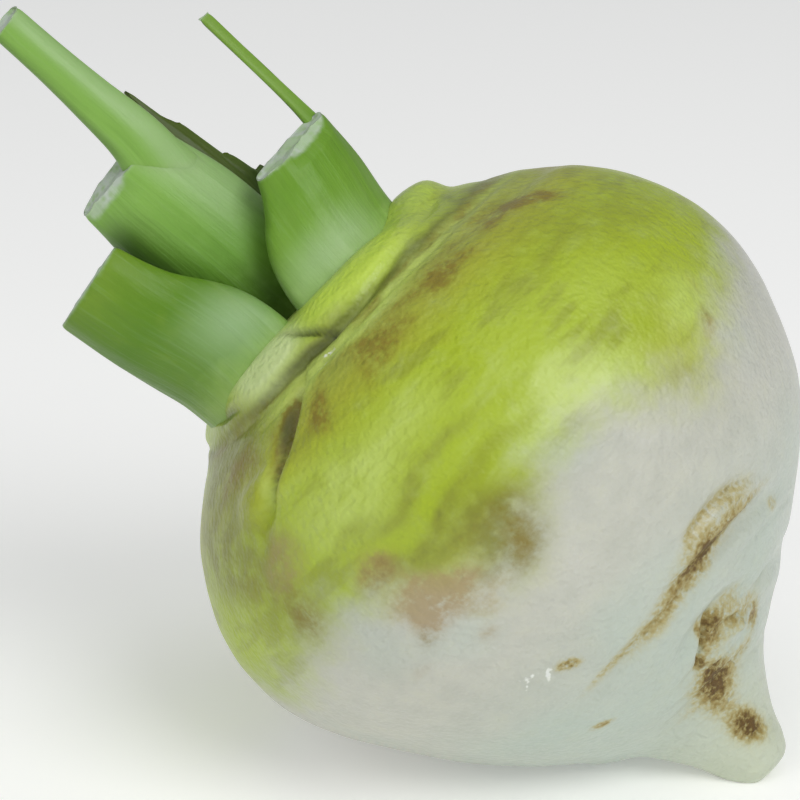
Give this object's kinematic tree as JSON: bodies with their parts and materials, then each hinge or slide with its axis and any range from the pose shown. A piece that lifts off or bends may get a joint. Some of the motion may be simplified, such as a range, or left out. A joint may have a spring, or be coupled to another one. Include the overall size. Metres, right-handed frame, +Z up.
{
  "type": "turnip",
  "caption": "Round white root with a green shoulder, a short curved tail and short-cut leaf stalks, lying on its belly and its root tip.",
  "frame": {"origin": "on the flat spot under the belly, straight below the middle of the root's widest ring", "axes": "+Z up; -X towards the crown and its stalks; +X towards the root tip; best side towards -Y"},
  "size_m": [0.108, 0.09, 0.1037],
  "materials": {
    "turnip_root": "moist root skin, white below and yellow-green on the shoulder",
    "stalk_front_left": "moist green leaf stalk with a pale cut end",
    "stalk_front_right": "moist green leaf stalk with a pale cut end",
    "stalk_centre": "moist green leaf stalk with a pale cut end",
    "torn_sheath": "thin dark green leaf base with a torn edge",
    "stalk_back_left": "moist green leaf stalk with a pale cut end",
    "stalk_back_right": "moist green leaf stalk with a pale cut end",
    "heart_stub": "pale young leaf stalk cut short"
  },
  "bodies": {
    "root": {"turnip_root": "turnip_root", "stalk_front_left": "stalk_front_left", "stalk_front_right": "stalk_front_right", "stalk_centre": "stalk_centre", "torn_sheath": "torn_sheath", "stalk_back_left": "stalk_back_left", "stalk_back_right": "stalk_back_right", "heart_stub": "heart_stub"}
  },
  "joints": []
}
